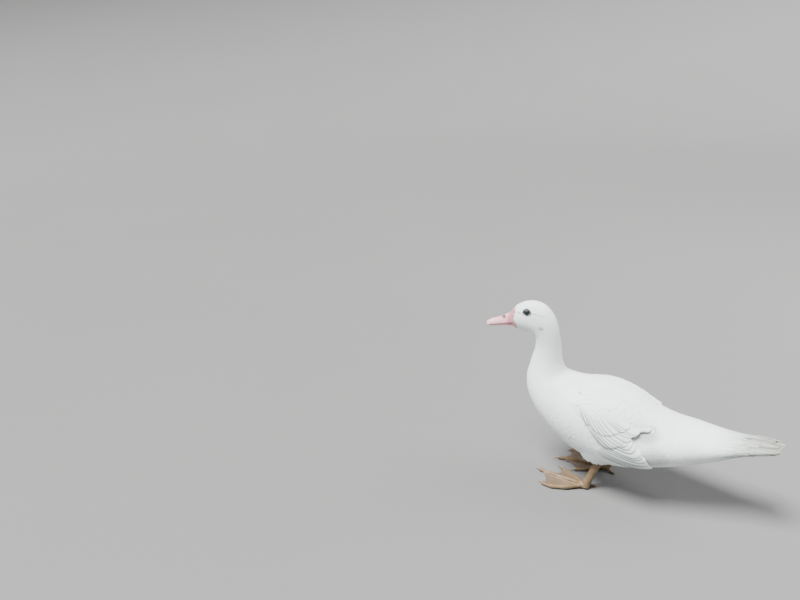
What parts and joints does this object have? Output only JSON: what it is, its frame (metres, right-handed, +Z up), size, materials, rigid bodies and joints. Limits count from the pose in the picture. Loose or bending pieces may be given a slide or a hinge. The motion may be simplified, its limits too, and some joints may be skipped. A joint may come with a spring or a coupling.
{
  "type": "muscovy duck model",
  "caption": "Life-size still model of a standing white domestic Muscovy duck with folded wings, fanned tail tip and webbed feet.",
  "frame": {"origin": "on the floor under the middle of the bird's length", "axes": "+Z up, +X along the bird from the bill towards the tail, the bird's left side towards -Y"},
  "size_m": [0.5315, 0.164, 0.3428],
  "materials": {
    "plumage_body": "matte, smooth white feathers over flesh",
    "plumage_light": "matte, loose white feathers",
    "quills": "matte flight and tail feathers",
    "bill": "satin pale pink horn",
    "caruncle": "bare pink skin",
    "eye": "wet gloss",
    "leg": "scaly skin",
    "claw": "pale horn"
  },
  "bodies": {
    "root": {"bill_lower": "bill", "bill_upper": "bill", "breast": "plumage_body", "claw_left_hind": "claw", "claw_left_inner": "claw", "claw_left_middle": "claw", "claw_left_outer": "claw", "claw_right_hind": "claw", "claw_right_inner": "claw", "claw_right_middle": "claw", "claw_right_outer": "claw", "eye_left": "eye", "eye_right": "eye", "face_skin": "caruncle", "foot_left": "leg", "foot_right": "leg", "head": "plumage_body", "neck_lower": "plumage_body", "neck_upper": "plumage_body", "rump": "plumage_light", "shank_left": "leg", "shank_right": "leg", "tail": "quills", "thigh_left": "plumage_body", "thigh_right": "plumage_body", "torso": "plumage_body", "wing_left": "quills", "wing_right": "quills"}
  },
  "joints": []
}
